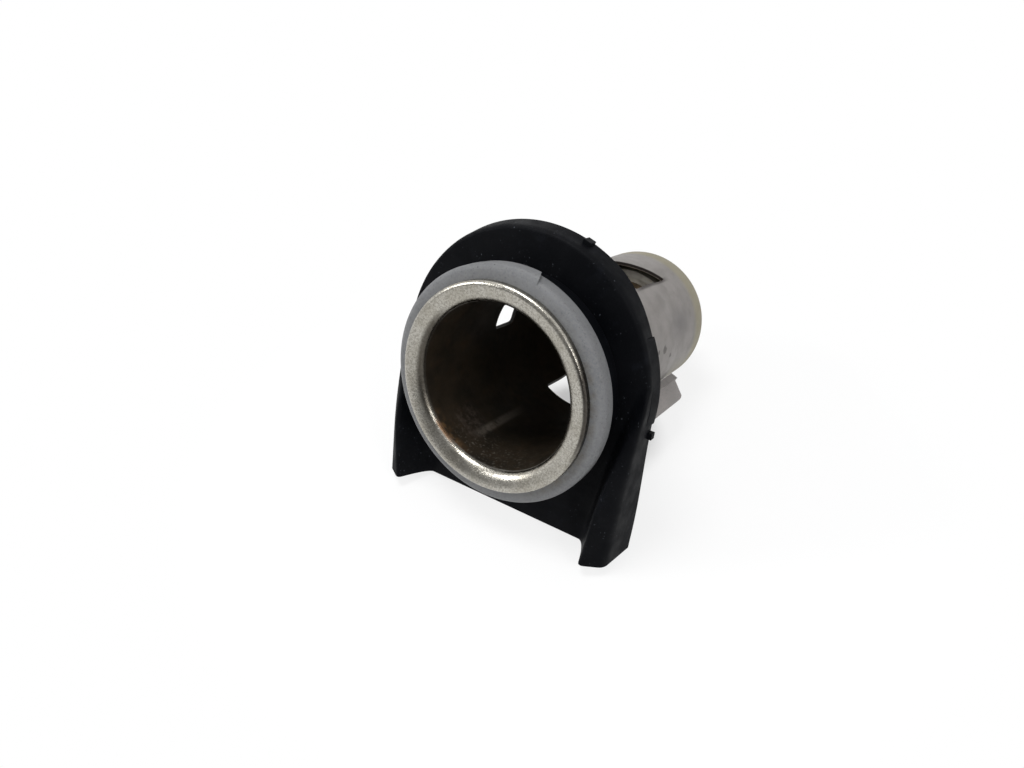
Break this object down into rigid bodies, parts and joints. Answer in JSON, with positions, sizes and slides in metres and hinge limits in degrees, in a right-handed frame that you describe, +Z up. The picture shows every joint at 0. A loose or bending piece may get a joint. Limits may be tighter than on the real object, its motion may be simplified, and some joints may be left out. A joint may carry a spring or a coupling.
{
  "type": "car 12v power socket",
  "caption": "Round 12 volt power socket for a car console with a nickel cup, a grey light ring and an arched black trim bezel with forward ears.",
  "frame": {"origin": "on the axis of the plug bore, where the straight bore starts at the mouth", "axes": "+Y along the bore axis into the closed end, +Z up as fitted in a console, +X to the right as seen from the front"},
  "size_m": [0.0357, 0.0537, 0.0376],
  "materials": {
    "black_plastic": "fine-grained matte moulding, slightly dusty",
    "grey_plastic": "slightly translucent satin grey moulding",
    "nickel": "satin nickel plate, stained inside the bore",
    "beige_plastic": "plain moulded insulator",
    "brass": "dull brass",
    "fibre": "pressed fibre",
    "tinned": "tin plate",
    "white_plastic": "milky moulding",
    "bulb_glass": "thin clear glass",
    "dark_plastic": "satin moulding"
  },
  "bodies": {
    "root": {"trim_bezel": "black_plastic", "light_ring": "grey_plastic", "socket_barrel": "nickel", "contact_base": "beige_plastic", "centre_contact": "brass", "contact_rivet": "brass", "rear_washer": "fibre", "earth_terminal": "tinned", "positive_terminal": "brass", "rivet_washer": "tinned", "lamp_housing": "white_plastic", "lamp_bulb": "bulb_glass", "lamp_holder": "dark_plastic", "lamp_contacts": "brass"}
  },
  "joints": []
}
